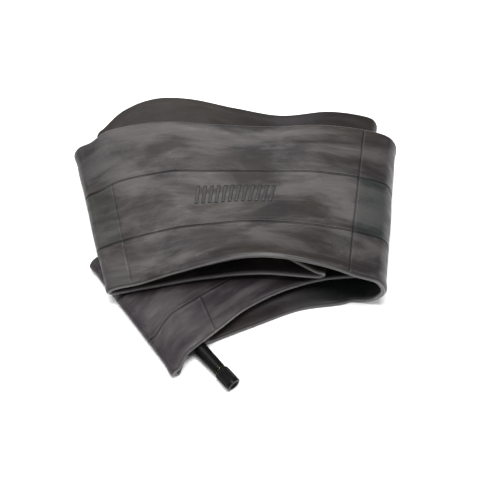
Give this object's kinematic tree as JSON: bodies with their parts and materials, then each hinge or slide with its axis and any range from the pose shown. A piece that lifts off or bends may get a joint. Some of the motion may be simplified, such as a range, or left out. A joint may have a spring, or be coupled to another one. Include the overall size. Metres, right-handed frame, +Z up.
{
  "type": "bicycle inner tube",
  "caption": "Wide butyl bicycle inner tube, deflated and folded into a flat bundle, with a rubber-covered valve, valve core and ribbed dust cap.",
  "frame": {"origin": "centre of the folded bundle's box, on the surface that it lies on", "axes": "+Z up, +X along the bundle between its outer folds, +Y towards the tread-side edge; the valve leaves the rim-side edge towards +X and -Y"},
  "size_m": [0.2346, 0.219, 0.0487],
  "materials": {
    "butyl": "satin moulded butyl with faint streaks and smudges",
    "stem_rubber": "smooth satin black rubber",
    "cap_plastic": "moulded black plastic, slightly glossy on its ribs",
    "brass": "turned brass",
    "steel": "plain steel",
    "seal_rubber": "matte soft rubber"
  },
  "bodies": {
    "tube": {"inner_tube": "butyl", "valve_stem_cover": "stem_rubber", "valve_stem": "brass", "core_plug": "brass", "core_barrel": "brass", "core_gasket": "seal_rubber", "core_spring": "steel"},
    "pin": {"valve_pin": "steel", "seat_cup": "brass", "seat_washer": "seal_rubber"},
    "cap_washer": {"cap_seal": "seal_rubber"},
    "cap": {"valve_cap": "cap_plastic"}
  },
  "joints": [
    {"name": "pin_press", "type": "slide", "parent": "tube", "child": "pin", "axis": [-0.6561, 0.7547, 0], "range_m": [0, 0.0015], "stiffness_N_per_m": 300, "springref_m": -0.003, "deforming": ["core_spring"]},
    {"name": "cap_lift", "type": "slide", "parent": "tube", "child": "cap_washer", "axis": [0.6561, -0.7547, 0], "range_m": [0, 0.00397]},
    {"name": "cap_turn", "type": "hinge", "parent": "cap_washer", "child": "cap", "pos_m": [-0.026, -0.0775, 0.0054], "axis": [0.6561, -0.7547, 0], "range_deg": [0, 1800]}
  ],
  "couplings": [
    {"joint": "cap_turn", "follows": "cap_lift", "rad_per_m": 7913.3}
  ]
}
